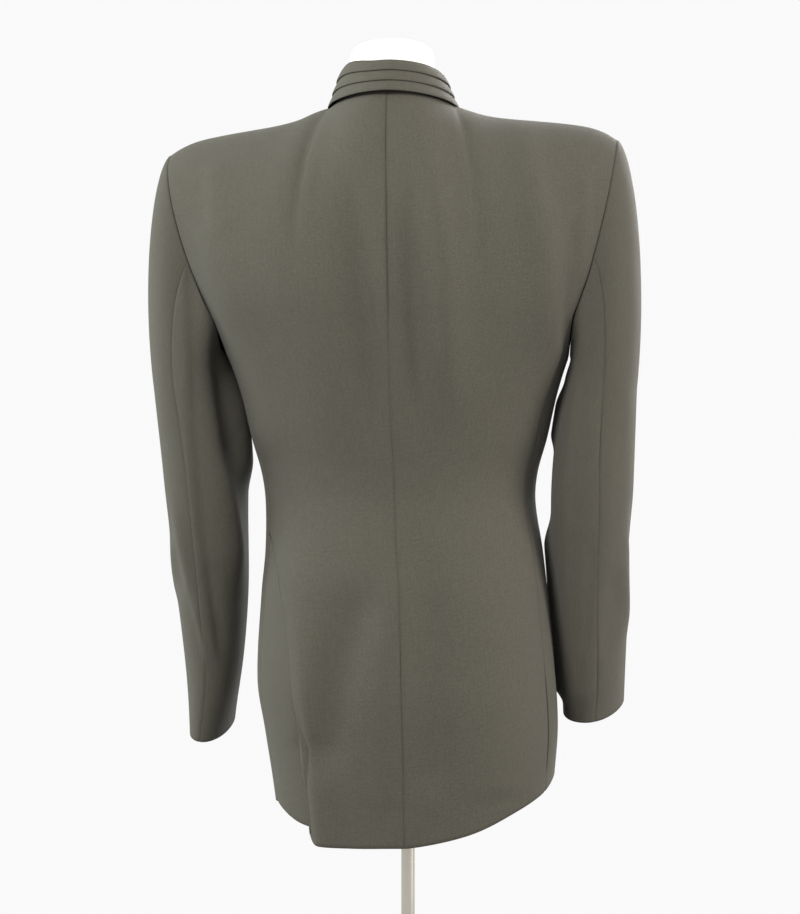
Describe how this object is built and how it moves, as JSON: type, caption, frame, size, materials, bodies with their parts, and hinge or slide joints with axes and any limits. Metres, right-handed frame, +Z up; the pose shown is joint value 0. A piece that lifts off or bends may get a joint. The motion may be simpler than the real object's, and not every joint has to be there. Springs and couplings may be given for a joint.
{
  "type": "blazer on a limbless dress form",
  "caption": "Long fitted blazer with a banded stand collar, two-piece sleeves and a curved hem, worn by a limbless form on a pole and round base",
  "frame": {"origin": "on the floor, under the middle of the pole", "axes": "+Z up, the wearer faces -Y, +X is the wearer's left"},
  "size_m": [0.5127, 0.32, 1.475],
  "materials": {
    "wool": "fine grey-olive worsted wool, dull with a faint sheen",
    "button": "dark grey-olive, half matt",
    "form_cover": "smooth off-white jersey over light foam",
    "steel": "satin steel"
  },
  "bodies": {
    "root": {"back_left": "wool", "back_right": "wool", "side_left": "wool", "side_right": "wool", "front_left": "wool", "front_right": "wool", "sleeve_top_left": "wool", "sleeve_top_right": "wool", "sleeve_under_left": "wool", "sleeve_under_right": "wool", "collar_stand": "wool", "collar_band_lower": "wool", "collar_band_middle": "wool", "collar_band_upper": "wool", "button_1": "button", "button_2": "button", "button_3": "button", "dress_form": "form_cover", "stand_pole": "steel", "stand_base": "steel"}
  },
  "joints": []
}
